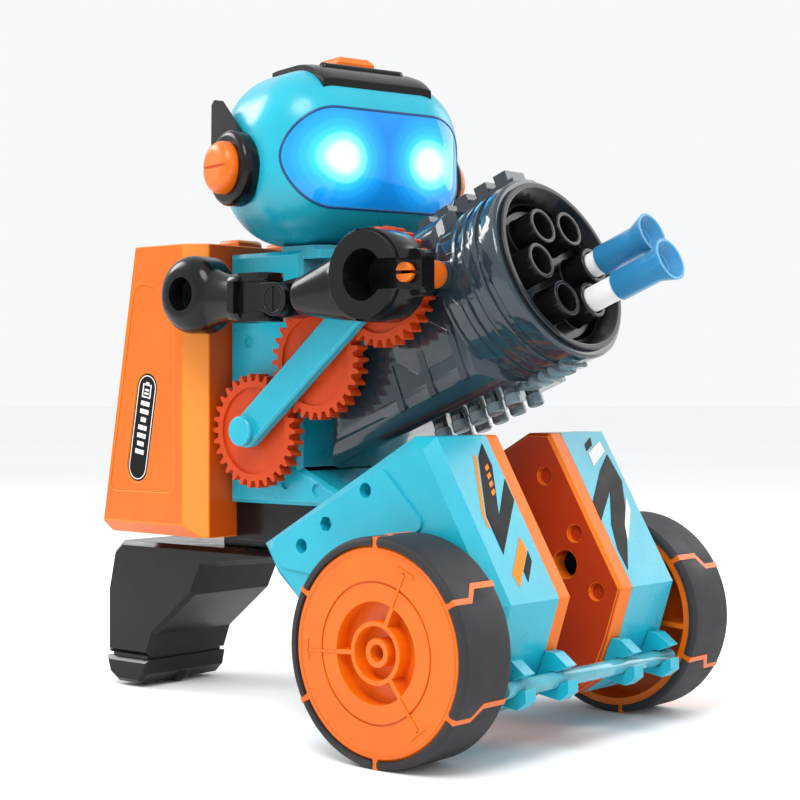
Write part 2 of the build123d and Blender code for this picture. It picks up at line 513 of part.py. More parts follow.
def arms():
    x0, x1 = -LIMB_X[1], -LIMB_X[0]
    bulb = crossbar(x0, x1, SHOULDER, 15.5)
    bulb = fillet(bulb.faces().sort_by(Axis.X)[0].edges(), 7.5)
    bulb = fillet(bulb.faces().sort_by(Axis.X)[-1].edges(), 2.0)
    fork_z = (SHOULDER[1] + ELBOW[1]) / 2 - 0.6
    neck = limb_loft([(114, 167.5, 7.9, 14.0), (103, 166.3, 7.2, 9.6), (93, fork_z, 7.4, 9.4)])
    collar = box(x0 + 0.6, x1 - 0.6, 88.5, 94.5, fork_z - 9.6, fork_z + 9.6)
    neck += fillet(collar.edges().filter_by(Axis.Y), 4.5)
    for low, high in ((fork_z + 6.2, fork_z + 9.4), (fork_z - 9.4, fork_z - 6.2)):
        prong = box(x0 + 2.0, x1 - 2.0, 75.5, 90, low, high)
        neck += fillet(prong.edges().filter_by(Axis.Z).group_by(Axis.Y)[0], 4.0)
    neck -= box(x0, x1, 70, 91, fork_z - 6.2, fork_z + 6.2)
    upper = bulb + neck
    upper -= crossbar(x0, x0 + 7.5, SHOULDER, 6.7) + crossbar(x0 + 7.0, x1, SHOULDER, 5.0 + RUNNING)
    both_sides("upper_arm", upper)

    ear_in = x0 + 6.8
    link = box(x0 + 3.5, x1 - 3, 76, 90.8, fork_z - 6.2, fork_z + 6.2)
    ear = [(76.5, fork_z + 5), (ELBOW[0], ELBOW[1] + 6.4), (ELBOW[0], ELBOW[1] - 6.4), (76.5, fork_z - 5)]
    link += plate(x0 + 0.8, ear_in, ear)
    link += crossbar(x0 + 0.8, ear_in, ELBOW, 6.4)
    forearm_room = box(x0, x1, ELBOW[0] - 8, ELBOW[0] + 7.6, 150, 180)
    link -= forearm_room - box(x0, ear_in, 50, 90, 150, 180)
    link -= crossbar(x0, ear_in, ELBOW, 2.5) + crossbar(x0, x0 + 2.2, ELBOW, 4.9)
    screw = crossbar(x0 + 1.0, x1 - 1.0, ELBOW, 2.5) + crossbar(x0 + 1.0, x0 + 2.2, ELBOW, 4.7)
    screw -= box(x0, x0 + 1.8, ELBOW[0] - 0.7, ELBOW[0] + 0.7, 150, 180)
    both_sides("elbow_joint", Compound(children=link.solids() + screw.solids()))

    forearm = link_plate(ear_in + 0.4, x1, ELBOW, 7.0, (52, 166.8), 7.4)
    forearm += limb_loft([(60.5, 165.6, 8.1, 7.4), (44, 168.2, 8.3, 12.0), (26, 171.4, 8.4, 16.4)])
    ring = crossbar(x0, x1, HAND, HAND_R)
    forearm += chamfer(ring.faces().sort_by(Axis.X)[0].edges(), 0.8)
    ring_step = crossbar(x0, x0 + 2.2, HAND, HAND_R + 1) - crossbar(x0, x0 + 2.2, HAND, HAND_R - 1.0)
    forearm -= ring_step & box(x0, x0 + 2.2, HAND[0] - 20, HAND[0] + 3, 150, 200)
    lug = box(x0 + 9.5, x1, HAND[0] - 20, HAND[0], PEG[1] - 8.5, PEG[1] + 8.5)
    forearm += fillet(lug.edges().filter_by(Axis.X), 3.0)
    forearm -= crossbar(x0, ear_in + 0.4, ELBOW, 7.2)
    forearm -= crossbar(x0, x1 - 2.0, HAND, HAND_BORE_R)
    forearm -= box(x0, x0 + 9.5, HAND[0] - 25, HAND[0], HAND[1] - HAND_SLOT / 2, HAND[1] + HAND_SLOT / 2)
    forearm -= crossbar(x0 + 9, x1, PEG, 3.4)
    forearm -= crossbar(ear_in, x1, ELBOW, 2.5 + RUNNING)
    both_sides("forearm", forearm)


# ---- Head ------------------------------------------------------------------------------
def rounded_block(grow):
    """The head's outer form, grown outward by a distance (negative shrinks it)."""
    block = Pos(0, 0, HEAD_MID) * Box(HEAD_W + 2 * grow, HEAD_D + 2 * grow, HEAD_H + 2 * grow)
    return fillet(block.edges(), HEAD_ROUND + grow)


def stadium_prism(width, height, y0, y1):
    """A stadium, seen from the front at the visor's height, running from y0 back to y1."""
    outline = Plane.XZ.offset(-y1) * Pos(0, VISOR_Z) * SlotOverall(width, height)
    return extrude(outline, y1 - y0)


def head():
    outer, inner = rounded_block(0), rounded_block(-WALL)
    hollow = outer - inner
    window = stadium_prism(VISOR_W, VISOR_H, -60, 6)
    front_half, rear_half = box(-90, 90, -90, 10.5, 150, 300), box(-90, 90, 10.5, 90, 150, 300)
    neck_hole = Pos(0, 0, HEAD_BOTTOM) * Cylinder(8.0, 12)
    well = box(-9.4, 9.4, -11.4, 6.4, HEAD_BOTTOM + HEAD_H - 5, HEAD_BOTTOM + HEAD_H + 9)
    pieces["head_shell_front"] = in_head((hollow & front_half) - window - neck_hole - well)
    pieces["head_shell_rear"] = in_head(hollow & rear_half)
    pieces["visor"] = in_head(hollow & window & box(-90, 90, -90, 6, 150, 300))

    panel = box(-34, 34, -21, -19, 205, 237)
    for x in (-20, 20):
        bowl = Pos(x, -23.5, VISOR_Z) * Rot(90, 0, 0) * Cylinder(13.0, 5.0)
        panel += bowl
        panel -= Pos(x, -24.0, VISOR_Z) * Rot(90, 0, 0) * Cone(4.0, 12.0, 4.2)
    pieces["eye_panel"] = in_head(panel)
    leds = [Pos(x, -23.6, VISOR_Z) * Sphere(2.6) for x in (-20, 20)]
    pieces["eye_leds"] = Compound(children=[in_head(led - panel) for led in leds])

    crown = rounded_block(2.2) - outer
    band = crown & box(-26, 26, -27, 12, HEAD_BOTTOM + HEAD_H - 12, 300)
    pieces["head_band"] = in_head(band - well)
    z0 = HEAD_BOTTOM + HEAD_H - 3.0
    button = Pos(0, -2.5, z0 + 5.0) * Box(18, 17, 10)
    button = chamfer(button.edges().group_by(Axis.Z)[-1], 2.2)
    pieces["head_button"] = in_head(button)

    neck = Pos(0, 0, HEAD_BOTTOM - 3) * Cylinder(8.0, 14)
    neck += Pos(0, 0, HEAD_BOTTOM + WALL + 1.4) * Cylinder(11.0, 2.0)
    pieces["neck_shaft"] = in_head(neck)

    ear = (2.0, 218.0)
    drum = crossbar(-53.5, -46.0, ear, 15.0)
    drum = fillet(drum.faces().sort_by(Axis.X)[0].edges(), 2.5)
    drum -= inner + (outer & box(-60, -40, -40, 40, 150, 300))
    cap = crossbar(-59.5, -53.5, ear, 10.5)
    cap = fillet(cap.faces().sort_by(Axis.X)[0].edges(), 4.5)
    cap -= box(-61, -58.2, ear[0] - 12, ear[0] + 12, ear[1] - 0.6, ear[1] + 0.6)
    fin = plate(-51.5, -47.6, [(-4, 230.5), (14.5, 247), (17, 245), (17.5, 218), (8, 216)], 0.8)
    fin -= crossbar(-60, -40, ear, 15.0)
    pieces["ear_drums"] = Compound(children=[in_head(drum), in_head(other_side(drum))])
    pieces["ear_caps"] = Compound(children=[in_head(cap), in_head(other_side(cap))])
    pieces["ear_fins"] = Compound(children=[in_head(fin), in_head(other_side(fin))])


gear_train()
wheels()
leg()
drive_units()
torso()
pelvis_and_boot()
backpack()
cannon()
darts()
arms()
head()

# ---- Write one file per piece, with the origin under the middle of the toy ------------------
boxes = [piece.bounding_box() for piece in pieces.values()]
ORIGIN_Y = round((min(b.min.Y for b in boxes) + max(b.max.Y for b in boxes)) / 2, 3)

os.makedirs("parts", exist_ok=True)
for name, piece in pieces.items():
    export_step(Pos(0, -ORIGIN_Y, 0) * piece, f"parts/{name}.step")
print("wheel axle at y =", -ORIGIN_Y, "mm;", len(pieces), "pieces")
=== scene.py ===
import json
import math

import bmesh
import bpy
from mathutils import Matrix, Vector
from mathutils.bvhtree import BVHTree


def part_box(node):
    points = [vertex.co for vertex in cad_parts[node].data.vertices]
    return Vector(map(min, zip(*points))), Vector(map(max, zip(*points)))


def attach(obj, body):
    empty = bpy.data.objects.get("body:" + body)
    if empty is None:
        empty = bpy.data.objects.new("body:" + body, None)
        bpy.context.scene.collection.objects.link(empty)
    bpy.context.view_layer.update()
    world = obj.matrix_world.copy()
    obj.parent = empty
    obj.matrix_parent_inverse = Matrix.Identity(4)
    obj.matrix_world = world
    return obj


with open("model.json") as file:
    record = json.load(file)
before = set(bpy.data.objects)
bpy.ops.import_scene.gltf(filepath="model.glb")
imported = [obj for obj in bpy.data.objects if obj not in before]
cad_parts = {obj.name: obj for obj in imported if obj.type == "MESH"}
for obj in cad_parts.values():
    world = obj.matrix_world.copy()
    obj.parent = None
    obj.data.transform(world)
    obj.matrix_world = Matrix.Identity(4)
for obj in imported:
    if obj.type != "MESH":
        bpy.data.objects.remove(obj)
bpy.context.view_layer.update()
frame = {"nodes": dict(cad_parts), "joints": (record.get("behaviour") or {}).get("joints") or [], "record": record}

MM = 0.001
JOINTS = {joint["name"]: joint for joint in frame["joints"]}
SIDES = (("right", -1), ("left", 1))

# Colours as linear RGB. The lighter edge and rim colours paint a highlight on the rounded edges of their plastics.
CYAN = (0.008, 0.385, 0.510)
CYAN_EDGE_HIGHLIGHT = (0.060, 0.540, 0.660)
ORANGE = (0.740, 0.132, 0.002)
ORANGE_EDGE_HIGHLIGHT = (0.860, 0.200, 0.006)
GEAR_RED = (0.560, 0.050, 0.005)
GEAR_EDGE_HIGHLIGHT = (0.820, 0.140, 0.015)
# The liner's dark red-orange is the orange plastic darkened: painted shade on the legs' inner faces.
LINER_PAINTED_SHADE = (0.430, 0.038, 0.006)
BLACK = (0.0045, 0.0045, 0.0050)
BLACK_EDGE_HIGHLIGHT = (0.022, 0.022, 0.024)
TYRE = (0.028, 0.028, 0.031)
DART_BLUE = (0.030, 0.230, 0.460)
DART_RIM_HIGHLIGHT = (0.100, 0.410, 0.680)
FOAM = (0.800, 0.810, 0.810)
WHITE = (0.840, 0.840, 0.830)

LEG_FRONT = (0.0, -0.87, 0.5)         # the way that the sloping fronts of the legs face
PACK_REAR = (0, 1, 0.17)              # the way that the leaning rear of the backpack faces


# ---- Materials -------------------------------------------------------------------------
def new_material(name):
    """A new node material: the material, its shader, a maker of further nodes, and the tree's links."""
    material = bpy.data.materials.new(name)
    material.use_nodes = True
    tree = material.node_tree
    shader = tree.nodes["Principled BSDF"]

    def add(kind, settings=None, **inputs):
        made = tree.nodes.new(kind)
        for key, value in (settings or {}).items():
            setattr(made, key, value)
        for key, value in inputs.items():
            socket = made.inputs[key.replace("_", " ")]
            if isinstance(value, bpy.types.NodeSocket):
                tree.links.new(value, socket)
            else:
                socket.default_value = value
        return made

    return material, shader, add, tree.links


def noise(add, where, scale, detail=2.0, rough=0.5):
    """A noise texture on the piece's own coordinates, in features per metre."""
    return add("ShaderNodeTexNoise", Vector=where, Scale=scale, Detail=detail, Roughness=rough).outputs["Fac"]


def spread(add, value, low, high, to_low, to_high):
    """Map a value's range to another range."""
    made = add("ShaderNodeMapRange", Value=value)
    for index, number in enumerate((low, high, to_low, to_high)):
        made.inputs[1 + index].default_value = number
    return made.outputs["Result"]


def calculate(add, operation, *values):
    """A maths node over numbers and sockets."""
    made = add("ShaderNodeMath", {"operation": operation})
    for socket, value in zip(made.inputs, values):
        if isinstance(value, bpy.types.NodeSocket):
            made.id_data.links.new(value, socket)
        else:
            socket.default_value = value
    return made.outputs[0]


def mix(add, share, first, second):
    """Mix two colours by a share."""
    made = add("ShaderNodeMix", {"data_type": "RGBA"})
    for socket, value in zip((made.inputs[0], made.inputs[6], made.inputs[7]), (share, first, second)):
        if isinstance(value, bpy.types.NodeSocket):
            made.id_data.links.new(value, socket)
        else:
            socket.default_value = value
    return made.outputs[2]


def shade(colour, factor):
    """A colour made darker or lighter, with alpha."""
    return tuple(min(1.0, channel * factor) for channel in colour) + (1.0,)


def plastic(name, colour, rough=0.32, grain=0.05, variation=0.08, coat=0.0,
            scratch=0.05, shine=0.36, facing=()):
    """Moulded plastic: slow colour drift, uneven gloss, fine texture and faint handling scratches.

    Each entry of facing paints light or shade by the way a surface faces: a way, how far a surface must turn to
    it, and the painted colour that it then has.
    """
    material, shader, add, link = new_material(name)
    where = add("ShaderNodeTexCoord").outputs["Object"]
    drift = noise(add, where, 38.0, 3.0)
    drift = spread(add, drift, 0.3, 0.7, 0.0, 1.0)
    tint = mix(add, drift, shade(colour, 1 - variation), shade(colour, 1 + variation))
    # Painted light and shade: surfaces turned to a way take a lighter or darker colour.
    for way, least, other in facing:
        turned = add("ShaderNodeVectorMath", {"operation": "DOT_PRODUCT"})
        link.new(add("ShaderNodeTexCoord").outputs["Normal"], turned.inputs[0])
        turned.inputs[1].default_value = way
        share = spread(add, turned.outputs["Value"], least, least + 0.08, 0.0, 1.0)
        tint = mix(add, share, tint, shade(other, 1.0))
    link.new(tint, shader.inputs["Base Color"])
    shader.inputs["Specular IOR Level"].default_value = shine

    stretched = add("ShaderNodeMapping", Vector=where, Scale=(1.0, 9.0, 1.6)).outputs["Vector"]
    lines = spread(add, noise(add, stretched, 260.0, 4.0, 0.7), 0.60, 0.72, 0.0, scratch)
    gloss = spread(add, noise(add, where, 120.0, 3.0), 0.25, 0.75, rough - 0.05, rough + 0.08)
    link.new(calculate(add, "ADD", lines, gloss), shader.inputs["Roughness"])

    fine = noise(add, where, 2600.0, 2.0)
    wave = noise(add, where, 85.0, 1.0)
    skin = add("ShaderNodeBump", Height=fine, Strength=grain, Distance=0.00012)
    flow = add("ShaderNodeBump", Height=wave, Strength=0.06, Distance=0.0005, Normal=skin.outputs["Normal"])
    link.new(flow.outputs["Normal"], shader.inputs["Normal"])
    shader.inputs["Coat Weight"].default_value = coat
    shader.inputs["Coat Roughness"].default_value = 0.12
    return material


def translucent(name, colour, rough, clear):
    """Tinted clear plastic with flow marks and a slightly uneven surface."""
    material, shader, add, link = new_material(name)
    where = add("ShaderNodeTexCoord").outputs["Object"]
    drift = spread(add, noise(add, where, 45.0, 4.0), 0.3, 0.7, 0.0, 1.0)
    tint = mix(add, drift, shade(colour, 0.75), shade(colour, 1.25))
    link.new(tint, shader.inputs["Base Color"])
    gloss = spread(add, noise(add, where, 150.0, 3.0), 0.3, 0.7, rough * 0.7, rough * 1.5)
    link.new(gloss, shader.inputs["Roughness"])
    bump = add("ShaderNodeBump", Height=noise(add, where, 140.0, 2.0), Strength=0.07, Distance=0.0008)
    link.new(bump.outputs["Normal"], shader.inputs["Normal"])
    shader.inputs["Transmission Weight"].default_value = clear
    shader.inputs["IOR"].default_value = 1.45
    shader.inputs["Coat Weight"].default_value = 0.4
    return material


# The visor's colours from its rim to the spot before a lamp, by how much of the lamp's light is there.
VISOR_STOPS = ((0.0, (0.004, 0.200, 0.580)), (0.30, (0.008, 0.290, 0.740)), (0.64, (0.03, 0.46, 0.88)),
               (0.86, (0.28, 0.80, 1.0)), (0.98, (1.0, 1.0, 1.0)))
SPOT_RADIUS, HALO_WIDTH = 0.0018, 0.0135
RINGS_PER_METRE, RING_DEPTH = 3300.0, 0.022


def lit_visor(name):
    """Blue clear plastic lit from behind: a white spot before each lamp, a halo and moulded rings."""
    material, shader, add, link = new_material(name)
    where = add("ShaderNodeTexCoord").outputs["Object"]
    visor = frame["nodes"]["visor"]
    gaps, spans = [], []
    for centre in eye_centres():
        found, nearest, _, _ = visor.closest_point_on_mesh(centre)
        gap = add("ShaderNodeVectorMath", {"operation": "DISTANCE"})
        link.new(where, gap.inputs[0])
        gap.inputs[1].default_value = centre
        gaps.append(gap.outputs["Value"])
        spans.append((nearest - centre).length)
    closest = calculate(add, "MINIMUM", *gaps)
    start = sum(spans) / len(spans) + SPOT_RADIUS
    glow = spread(add, closest, start, start + HALO_WIDTH, 1.0, 0.0)
    wave = calculate(add, "SINE", calculate(add, "MULTIPLY", closest, RINGS_PER_METRE))
    light = calculate(add, "MULTIPLY_ADD", wave, RING_DEPTH, glow)
    ramp = add("ShaderNodeValToRGB", Fac=light)
    for place, colour in VISOR_STOPS[2:]:
        ramp.color_ramp.elements.new(place)
    for element, (place, colour) in zip(ramp.color_ramp.elements, VISOR_STOPS):
        element.position = place
        element.color = colour + (1.0,)
    link.new(ramp.outputs["Color"], shader.inputs["Base Color"])
    link.new(ramp.outputs["Color"], shader.inputs["Emission Color"])
    link.new(spread(add, light, 0.55, 1.0, 0.42, 1.5), shader.inputs["Emission Strength"])
    link.new(spread(add, noise(add, where, 150.0, 3.0), 0.3, 0.7, 0.05, 0.10), shader.inputs["Roughness"])
    shader.inputs["Transmission Weight"].default_value = 0.12
    shader.inputs["Specular IOR Level"].default_value = 0.45
    return material


def metal(name, colour, rough):
    """Turned or plated metal with fine lines."""
    material, shader, add, link = new_material(name)
    where = add("ShaderNodeTexCoord").outputs["Object"]
    lines = add("ShaderNodeMapping", Vector=where, Scale=(1.0, 40.0, 40.0)).outputs["Vector"]
    grain = noise(add, lines, 60.0, 3.0)
    link.new(mix(add, grain, shade(colour, 0.8), shade(colour, 1.1)), shader.inputs["Base Color"])
    link.new(spread(add, grain, 0.2, 0.8, rough - 0.08, rough + 0.1), shader.inputs["Roughness"])
    bump = add("ShaderNodeBump", Height=grain, Strength=0.08, Distance=0.0001)
    link.new(bump.outputs["Normal"], shader.inputs["Normal"])
    shader.inputs["Metallic"].default_value = 1.0
    return material


def lamp(name, colour, strength):
    """A lit lamp, brightest in its middle."""
    material, shader, add, link = new_material(name)
    rim = add("ShaderNodeLayerWeight", Blend=0.35).outputs["Facing"]
    glow = mix(add, rim, (1.0, 1.0, 1.0, 1.0), shade(colour, 1.0))
    link.new(glow, shader.inputs["Base Color"])
    link.new(glow, shader.inputs["Emission Color"])
    shader.inputs["Emission Strength"].default_value = strength
    return material


def printed(name, colour):
    """Ink on a thin foil sticker: a little sheen and a fine paper-like unevenness."""
    return plastic(name, colour, rough=0.46, grain=0.10, variation=0.06, scratch=0.08, shine=0.14)


def eye_centres():
    """The middle of each lamp behind the visor, the toy's own right one first."""
    mesh = frame["nodes"]["eye_leds"].data
    middle = sum(vertex.co.x for vertex in mesh.vertices) / len(mesh.vertices)
    centres = []
    for side, sign in SIDES:
        lamp_points = [vertex.co for vertex in mesh.vertices if (vertex.co.x - middle) * sign > 0]
        centres.append(sum(lamp_points, Vector()) / len(lamp_points))
    return centres


# The lighter edge materials below paint a highlight on the rounded edges of their plastics.
M = {
    "cyan": plastic("cyan_plastic", CYAN, rough=0.28, coat=0.12, shine=0.42),
    "cyan_edge_highlight": plastic("cyan_edge_highlight", CYAN_EDGE_HIGHLIGHT, rough=0.34),
    "orange": plastic("orange_plastic", ORANGE, rough=0.32, coat=0.05),
    "orange_edge_highlight": plastic("orange_edge_highlight", ORANGE_EDGE_HIGHLIGHT, rough=0.38),
    "gear": plastic("gear_plastic", GEAR_RED, rough=0.42, shine=0.25),
    "gear_edge_highlight": plastic("gear_edge_highlight", GEAR_EDGE_HIGHLIGHT, rough=0.42, shine=0.25),
    # Painted light and shade on the liner: dark red-orange painted shade on its inner faces, and light orange on
    # the faces turned to the leg's front.
    "liner": plastic("liner_plastic", LINER_PAINTED_SHADE, rough=0.44, shine=0.25,
                     facing=((LEG_FRONT, 0.45, (0.80, 0.165, 0.006)),)),
    # Painted light and shade on the backpack: a light yellow-orange painted highlight on faces turned partly
    # forward, and a dark red-orange painted shade on faces turned straight forward.
    "pack": plastic("pack_plastic", ORANGE, rough=0.32, coat=0.05,
                    facing=(((0, -1, 0), 0.42, (0.88, 0.265, 0.028)),
                            ((0, -1, 0), 0.85, (0.60, 0.075, 0.003)))),
    "liner_edge_highlight": plastic("liner_edge_highlight", ORANGE_EDGE_HIGHLIGHT, rough=0.40, shine=0.25),
    "black": plastic("black_plastic", BLACK, rough=0.20, coat=0.08, variation=0.2, shine=0.22),
    "black_edge_highlight": plastic("black_edge_highlight", BLACK_EDGE_HIGHLIGHT, rough=0.22, variation=0.2, shine=0.26),
    "tyre": plastic("tyre_rubber", TYRE, rough=0.58, grain=0.35, variation=0.18, shine=0.25),
    "tyre_edge": plastic("tyre_edge", shade(TYRE, 0.30)[:3], rough=0.62, grain=0.3, shine=0.2),
    "smoky": translucent("smoky_plastic", (0.026, 0.045, 0.060), 0.12, 0.32),
    "smoky_edge_highlight": translucent("smoky_edge_highlight", (0.085, 0.130, 0.155), 0.12, 0.22),
    "rod": translucent("clear_rod", (0.15, 0.62, 0.74), 0.12, 0.45),
    "knob": translucent("clear_knob", (0.34, 0.46, 0.52), 0.10, 0.60),
    "visor": lit_visor("visor_plastic"),
    "lamp": lamp("eye_lamp", (0.35, 0.85, 1.0), 6.0),
    "dart": plastic("dart_rubber", DART_BLUE, rough=0.34, coat=0.1),
    "dart_edge_highlight": plastic("dart_edge_highlight", DART_RIM_HIGHLIGHT, rough=0.34),
    "foam": plastic("dart_foam", FOAM, rough=0.75, grain=0.5, variation=0.05),
    "steel": metal("plated_steel", (0.62, 0.62, 0.63), 0.28),
    "board": plastic("circuit_board", (0.01, 0.12, 0.04), rough=0.4, variation=0.3),
    "ink_black": printed("ink_black", (0.004, 0.004, 0.005)),
    "ink_white": printed("ink_white", WHITE),
    "ink_orange": printed("ink_orange", (0.93, 0.23, 0.01)),
    "gasket": plastic("visor_gasket", (0.004, 0.055, 0.19), rough=0.22, shine=0.5),
}

# The material and the edge material of each CAD slot, and of the nodes that look different from it. Most edge
# materials are lighter copies: a painted highlight on the rounded edges.
LOOKS = {
    "cyan_plastic": ("cyan", "cyan_edge_highlight"),
    "orange_plastic": ("orange", "orange_edge_highlight"),
    "gear_orange": ("gear", "gear_edge_highlight"),
    "black_plastic": ("black", "black_edge_highlight"),
    "smoky_plastic": ("smoky", "smoky_edge_highlight"),
    "visor_blue": ("visor", "visor"),
    "tyre_rubber": ("tyre", "tyre_edge"),
    "dart_foam": ("foam", "foam"),
    "dart_cup": ("dart", "dart_edge_highlight"),
    "led": ("lamp", "lamp"),
    "steel": ("steel", "steel"),
    "circuit_green": ("board", "board"),
}
NODE_LOOKS = {
    "leg_inner": ("liner", "liner_edge_highlight"),
    "backpack_shell": ("pack", "orange_edge_highlight"),
    "toe_rod": ("rod", "rod"),
}
# Width of the rounded edges in each slot, in millimetres.
BEVELS = {
    "cyan_plastic": 0.45, "orange_plastic": 0.45, "gear_orange": 0.18, "black_plastic": 0.45,
    "smoky_plastic": 0.35, "tyre_rubber": 0.45, "dart_foam": 0.3, "dart_cup": 0.2, "steel": 0.2,
    "circuit_green": 0.15,
}


def dress_nodes():
    """Give every CAD node its material, and soften its edges with a rounded bevel in its edge material, mostly
    lighter: a painted highlight.
    """
    slot_of = {row["node"]: row["material_slot"] for row in frame["record"]["subparts"]}
    for name, node in frame["nodes"].items():
        slot = slot_of[name]
        main, edge = LOOKS[slot]
        main, edge = NODE_LOOKS.get(name.removesuffix("_right").removesuffix("_left"), (main, edge))
        node.data.materials.clear()
        node.data.materials.append(M[main])
        node.data.materials.append(M[edge])
        width = BEVELS.get(slot)
        if not width:
            continue
        weld = node.modifiers.new("weld", "WELD")
        weld.merge_threshold = 2e-6
        flat = node.modifiers.new("flat", "DECIMATE")
        flat.decimate_type = "DISSOLVE"
        flat.angle_limit = math.radians(0.6)
        bevel = node.modifiers.new("bevel", "BEVEL")
        bevel.width = width * MM
        bevel.segments = 2
        bevel.limit_method = "ANGLE"
        bevel.angle_limit = math.radians(32)
        # The bevel takes the second material: a painted highlight on the edges, darker instead on the tyres.
        bevel.material = 1
        bevel.harden_normals = True
        bevel.use_clamp_overlap = True


# ---- Mesh helpers ----------------------------------------------------------------------
def piece_from(mesh_maker, name, body, material, smooth=True):
    """Turn a bmesh into a piece with its materials, riding on a CAD body."""
    mesh = bpy.data.meshes.new(name)
    bmesh.ops.recalc_face_normals(mesh_maker, faces=mesh_maker.faces)
    mesh_maker.to_mesh(mesh)
    mesh_maker.free()
    for key in ([material] if isinstance(material, str) else material):
        mesh.materials.append(M[key])
    for face in mesh.polygons:
        face.use_smooth = smooth
    piece = bpy.data.objects.new(name, mesh)
    bpy.context.scene.collection.objects.link(piece)
    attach(piece, body)
    return piece


def slab(made, outline, place, low, high, material=0, rim=0.0):
    """Add a closed flat slab: outline in (u, v), from height low to high, placed by a matrix.

    A rim slopes the upper edge in by that much.
    """
    count = len(outline)
    centre = Vector((sum(u for u, v in outline) / count, sum(v for u, v in outline) / count))
    rings = []
    for height, shrink in ((low, 0.0), (high - rim, 0.0), (high, rim)) if rim else ((low, 0.0), (high, 0.0)):
        ring = []
        for u, v in outline:
            shift = (centre - Vector((u, v))).normalized() * shrink
            ring.append(made.verts.new(place @ Vector((u + shift.x, v + shift.y, height))))
        rings.append(ring)
    faces = [made.faces.new(list(reversed(rings[0]))), made.faces.new(rings[-1])]
    for lower, upper in zip(rings, rings[1:]):
        for i in range(count):
            j = (i + 1) % count
            faces.append(made.faces.new((lower[i], lower[j], upper[j], upper[i])))
    for face in faces:
        face.material_index = material


def facet(node, way):
    """The outermost broad flat side of a CAD node that faces a way: its centre frame and half sizes."""
    way = Vector(way).normalized()
    planes = {}
    mesh = frame["nodes"][node].data
    for polygon in mesh.polygons:
        if polygon.normal.dot(way) > 0.9:
            offset = polygon.normal.dot(mesh.vertices[polygon.vertices[0]].co)
            key = tuple(round(c, 2) for c in polygon.normal) + (round(offset, 4),)
            planes.setdefault(key, []).append(polygon)
    areas = {key: sum(polygon.area for polygon in group) for key, group in planes.items()}
    broad = [key for key, area in areas.items() if area > 0.4 * max(areas.values())]
    best = planes[max(broad, key=lambda key: key[-1])]
    normal = best[0].normal.copy()
    across = Vector((0, 0, 1)).cross(normal).normalized() if abs(normal.z) < 0.99 else Vector((1, 0, 0))
    up = normal.cross(across)
    corners = [mesh.vertices[i].co for p in best for i in p.vertices]
    us, vs = [c.dot(across) for c in corners], [c.dot(up) for c in corners]
    height = corners[0].dot(normal)
    middle = across * ((min(us) + max(us)) / 2) + up * ((min(vs) + max(vs)) / 2) + normal * height
    place = Matrix.Translation(middle) @ Matrix((across, up, normal)).transposed().to_4x4()
    return place, (max(us) - min(us)) / 2, (max(vs) - min(vs)) / 2


def tube(made, points, radius, closed=False, sides=10, material=0):
    """Add a round tube along points."""
    rings, last = [], None
    count = len(points)
    for i, point in enumerate(points):
        after = points[(i + 1) % count] if closed or i < count - 1 else point
        before = points[i - 1] if closed or i else point
        along = (after - before).normalized()
        side = (last - along * last.dot(along) if rings else along.orthogonal()).normalized()
        last = side
        other = along.cross(side)
        rings.append([made.verts.new(point + radius * (math.cos(a) * side + math.sin(a) * other))
                      for a in (2 * math.pi * k / sides for k in range(sides))])
    pairs = list(zip(rings, rings[1:])) + ([(rings[-1], rings[0])] if closed else [])
    for first, second in pairs:
        for k in range(sides):
            face = made.faces.new((first[k], first[(k + 1) % sides], second[(k + 1) % sides], second[k]))
            face.material_index = material
    if not closed:
        made.faces.new(list(reversed(rings[0])))
        made.faces.new(rings[-1])


def lathe(made, profile, place, steps=72, material=0):
    """Add a closed ring: profile as (radius, height) round a loop, turned about the local Z axis."""
    rings = []
    for k in range(steps):
        a = 2 * math.pi * k / steps
        rings.append([made.verts.new(place @ Vector((r * math.cos(a), r * math.sin(a), h)))
                      for r, h in profile])
    count = len(profile)
    for k in range(steps):
        first, second = rings[k], rings[(k + 1) % steps]
        for i in range(count):
            j = (i + 1) % count
            face = made.faces.new((first[i], second[i], second[j], first[j]))
            face.material_index = material


def towards(point, direction, up=(0, 0, 1)):
    """A place whose local Z axis points in a direction."""
    z = Vector(direction).normalized()
    x = Vector(up).cross(z)
    x = x.normalized() if x.length > 1e-6 else Vector((1, 0, 0))
    return Matrix.Translation(Vector(point)) @ Matrix((x, z.cross(x), z)).transposed().to_4x4()


# ---- Wheels ----------------------------------------------------------------------------
MARK_ANGLES = (65, 183, 308)
MARK_SINK, MARK_RISE = 0.0002, 0.0004


def wheel_marks():
    """The raised ring and the three T-shaped marks on the face of each wheel."""
    stem_start, t_r = 0.0180, 0.0315
    inner, outer = t_r - 0.0006, t_r + 0.0006
    stem = [(stem_start, -0.0005), (t_r, -0.0005), (t_r, 0.0005), (stem_start, 0.0005)]
    cross = [(inner, -0.0042), (outer, -0.0042), (outer, 0.0036), (inner, 0.0036)]
    ring = [(0.0345, -0.0002), (0.0352, -0.0002), (0.0352, 0.0002), (0.0345, 0.0002)]
    for side, sign in SIDES:
        low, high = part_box(f"wheel_hub_{side}")
        x = low.x if sign < 0 else high.x
        centre = Vector(JOINTS[f"wheel_{side}_spin"]["pos_m"])
        place = towards((x, centre.y, centre.z), (sign, 0, 0))
        made = bmesh.new()
        for angle in MARK_ANGLES:
            turn = place @ Matrix.Rotation(math.radians(angle if sign < 0 else 180 - angle), 4, "Z")
            for outline in (stem, cross):
                slab(made, outline, turn, -MARK_SINK, MARK_RISE, rim=0.0002)
        lathe(made, ring, place)
        piece_from(made, f"wheel_marks_{side}", f"wheel_{side}", "orange", smooth=False)


